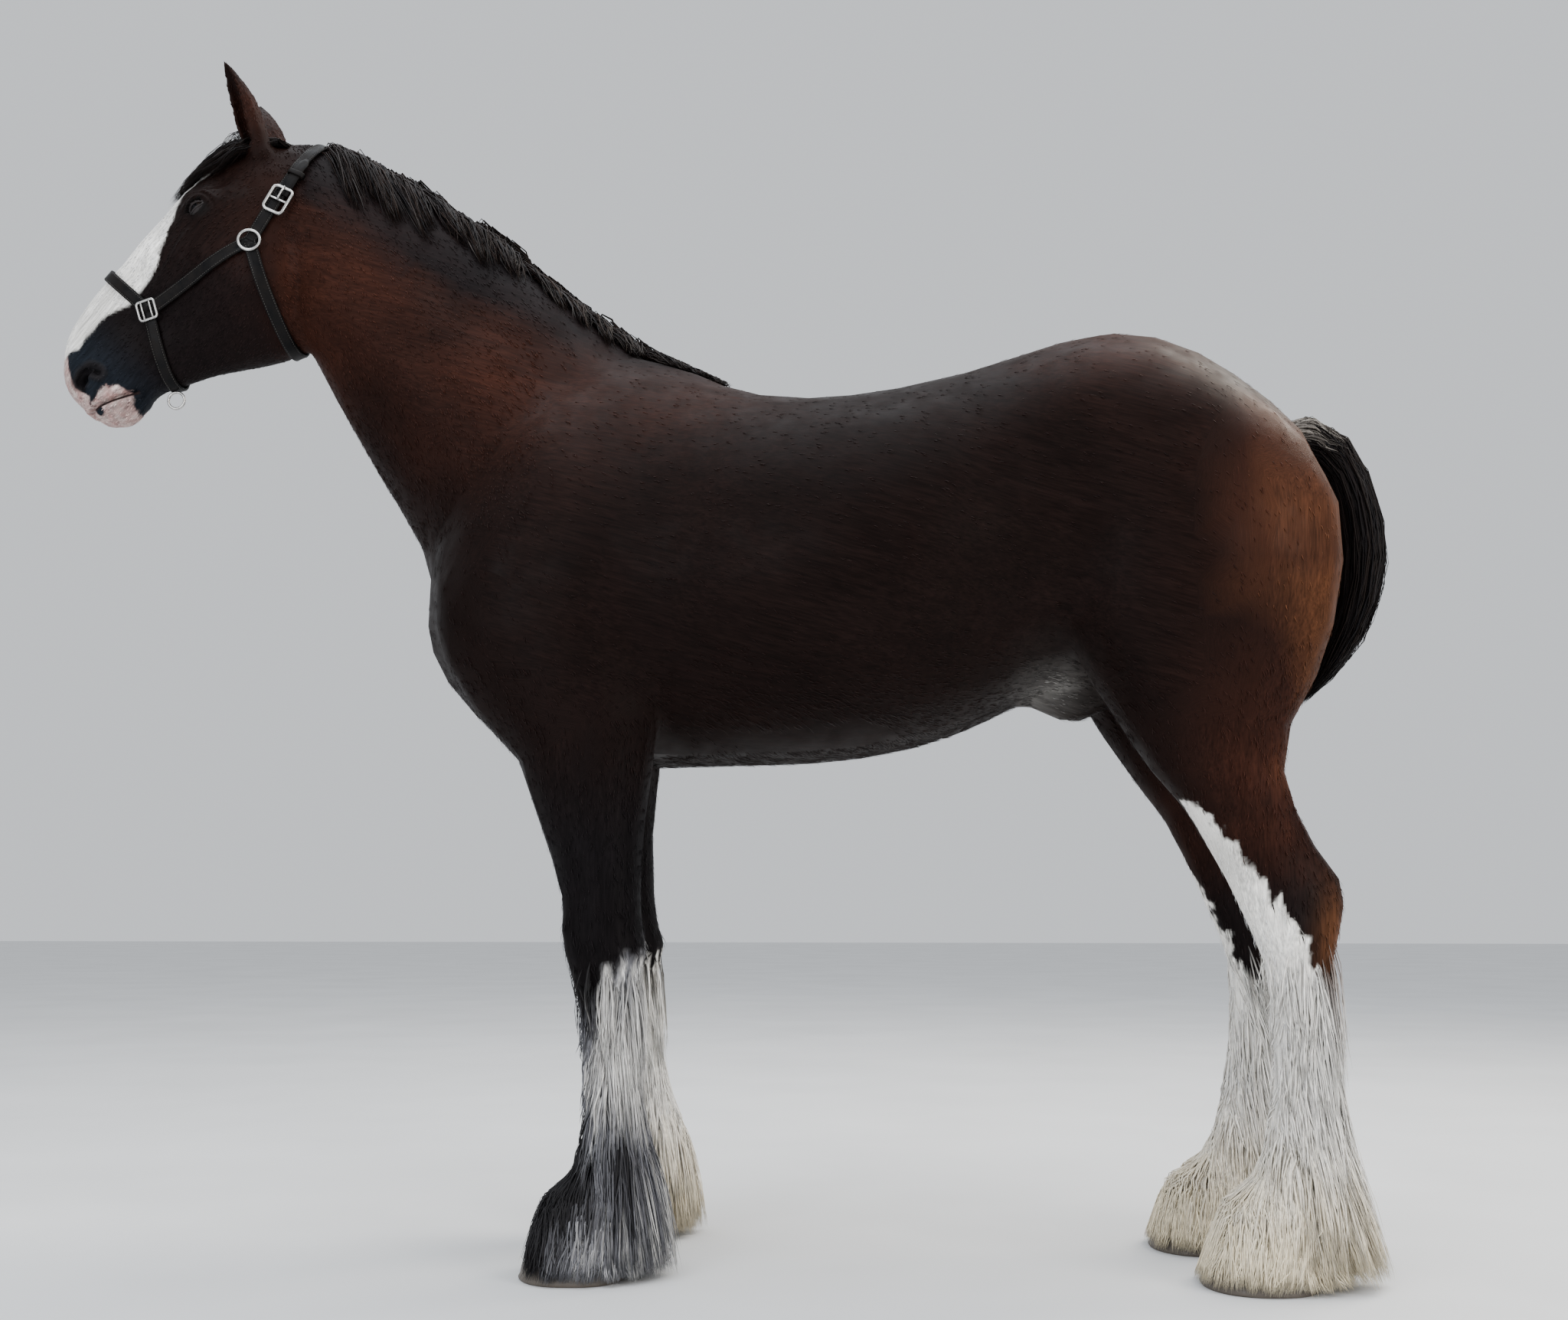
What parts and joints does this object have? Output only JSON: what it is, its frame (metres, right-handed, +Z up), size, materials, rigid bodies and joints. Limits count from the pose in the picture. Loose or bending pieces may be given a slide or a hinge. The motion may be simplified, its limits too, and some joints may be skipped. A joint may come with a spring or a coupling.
{
  "type": "clydesdale horse",
  "caption": "Heavy draught horse standing square in a halter, with a blaze, short tail and long hair over its feet",
  "frame": {"origin": "on the ground, midway between the nose and the back of the tail, on the middle plane of the body", "axes": "+Z up, +X towards the tail, so that the head is at -X, and +Y towards the horse's right side"},
  "size_m": [2.7057, 0.759, 2.4328],
  "materials": {
    "coat": "short glossy dark bay coat",
    "dark_legs": "short black coat of the forelegs",
    "white_legs": "short white coat of the hind legs",
    "grey_feather": "long mixed grey and black hair",
    "white_feather": "long cream white hair",
    "hair": "long black hair, slightly glossy",
    "hoof": "dark grey horn, satin",
    "eye": "wet and very dark, glossy",
    "skin": "bare dark skin",
    "strap": "black leather, smooth with stitched edges",
    "nickel": "polished white metal"
  },
  "bodies": {
    "root": {"head": "coat", "ear_left": "coat", "ear_right": "coat", "neck": "coat", "leg_fore_left": "dark_legs", "hoof_fore_left": "hoof", "leg_fore_right": "dark_legs", "hoof_fore_right": "hoof", "leg_hind_left": "white_legs", "hoof_hind_left": "hoof", "leg_hind_right": "white_legs", "hoof_hind_right": "hoof", "torso": "coat", "eye_left": "eye", "eye_right": "eye", "sheath": "skin", "feather_fore_left": "grey_feather", "feather_fore_right": "white_feather", "feather_hind_left": "white_feather", "feather_hind_right": "white_feather", "tail": "hair", "mane": "hair", "forelock": "hair", "halter_crown": "strap", "halter_throat": "strap", "halter_noseband": "strap", "halter_jaw": "strap", "halter_cheek_left": "strap", "halter_cheek_right": "strap", "halter_ring_left": "nickel", "halter_ring_right": "nickel", "halter_square_left": "nickel", "halter_square_right": "nickel", "halter_buckle": "nickel", "halter_chin_ring": "nickel"}
  },
  "joints": []
}
